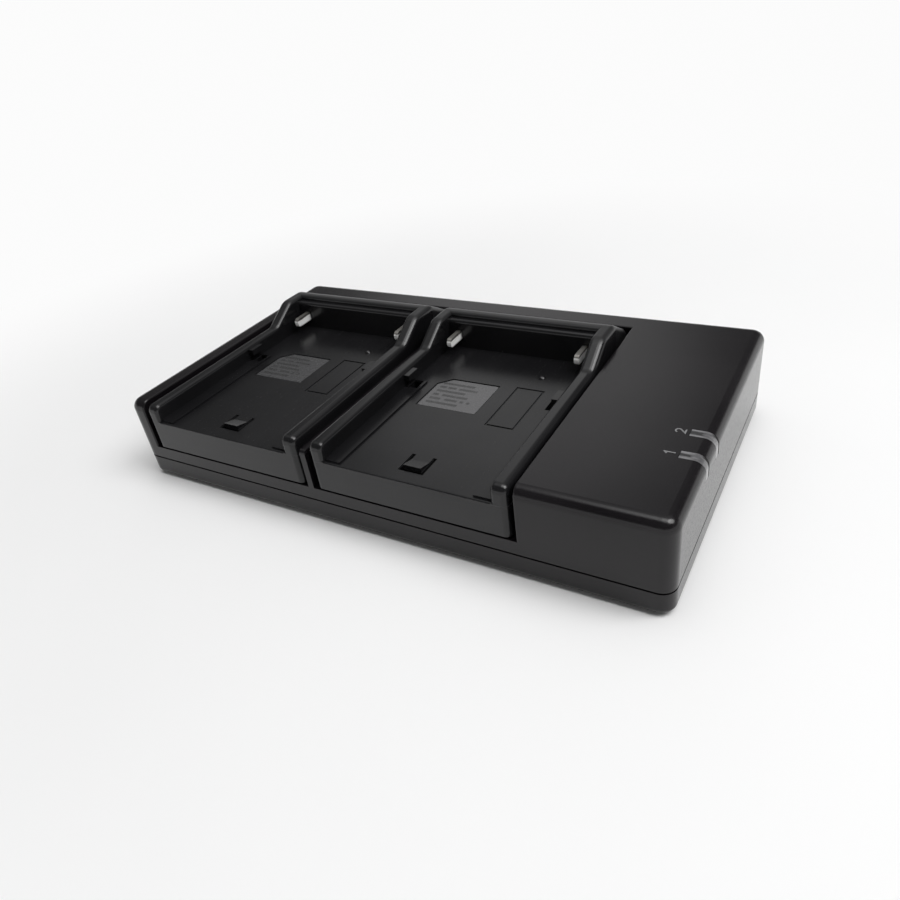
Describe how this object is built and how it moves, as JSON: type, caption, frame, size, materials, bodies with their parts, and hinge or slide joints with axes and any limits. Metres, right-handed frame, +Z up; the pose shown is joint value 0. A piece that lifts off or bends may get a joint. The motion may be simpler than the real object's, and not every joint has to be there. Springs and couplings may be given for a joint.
{
  "type": "camera battery charger",
  "caption": "Flat desk charger for slide-in camera battery packs: moulded bay trays with contact blades in a rounded case, beside a supply block with light-pipe indicators and a rear inlet.",
  "frame": {"origin": "under the middle of the case, on the surface that the rubber feet stand on", "axes": "+X along the length from the bays to the supply block, +Y from the open front to the rear, +Z up"},
  "size_m": [0.134, 0.076, 0.0258],
  "materials": {
    "case": "fine moulded grain, satin black",
    "tray": "satin black",
    "contact_metal": "bright nickel plate",
    "clear_plastic": "clear, slightly frosted",
    "circuit_board": "green solder mask",
    "inlet_plastic": "satin black",
    "plated_steel": "zinc or nickel plate",
    "fuse_glass": "clear tube with metal caps",
    "chip_plastic": "matt black",
    "capacitor_sleeve": "dark blue sleeve",
    "ferrite": "dark grey",
    "copper_winding": "taped winding",
    "led_plastic": "pale lens",
    "lead_insulation": "red insulation",
    "foot_rubber": "matt dark grey"
  },
  "bodies": {
    "root": {"base_cover": "case", "top_case": "case", "left_bay_tray": "tray", "right_bay_tray": "tray", "left_bay_left_blade": "contact_metal", "left_bay_right_blade": "contact_metal", "right_bay_left_blade": "contact_metal", "right_bay_right_blade": "contact_metal", "front_light_pipe": "clear_plastic", "rear_light_pipe": "clear_plastic", "left_contact_board": "circuit_board", "right_contact_board": "circuit_board", "main_board": "circuit_board", "power_inlet": "inlet_plastic", "inlet_pins": "plated_steel", "case_screws": "plated_steel", "tray_screws": "plated_steel", "board_screws": "plated_steel", "fuse": "fuse_glass", "bridge_rectifier": "chip_plastic", "switching_chip": "chip_plastic", "charge_chips": "chip_plastic", "bulk_capacitor": "capacitor_sleeve", "output_capacitor": "capacitor_sleeve", "transformer_core": "ferrite", "line_choke": "ferrite", "charge_inductors": "ferrite", "transformer_coil": "copper_winding", "indicator_leds": "led_plastic", "left_bay_leads": "lead_insulation", "right_bay_leads": "lead_insulation", "rubber_feet": "foot_rubber"}
  },
  "joints": []
}
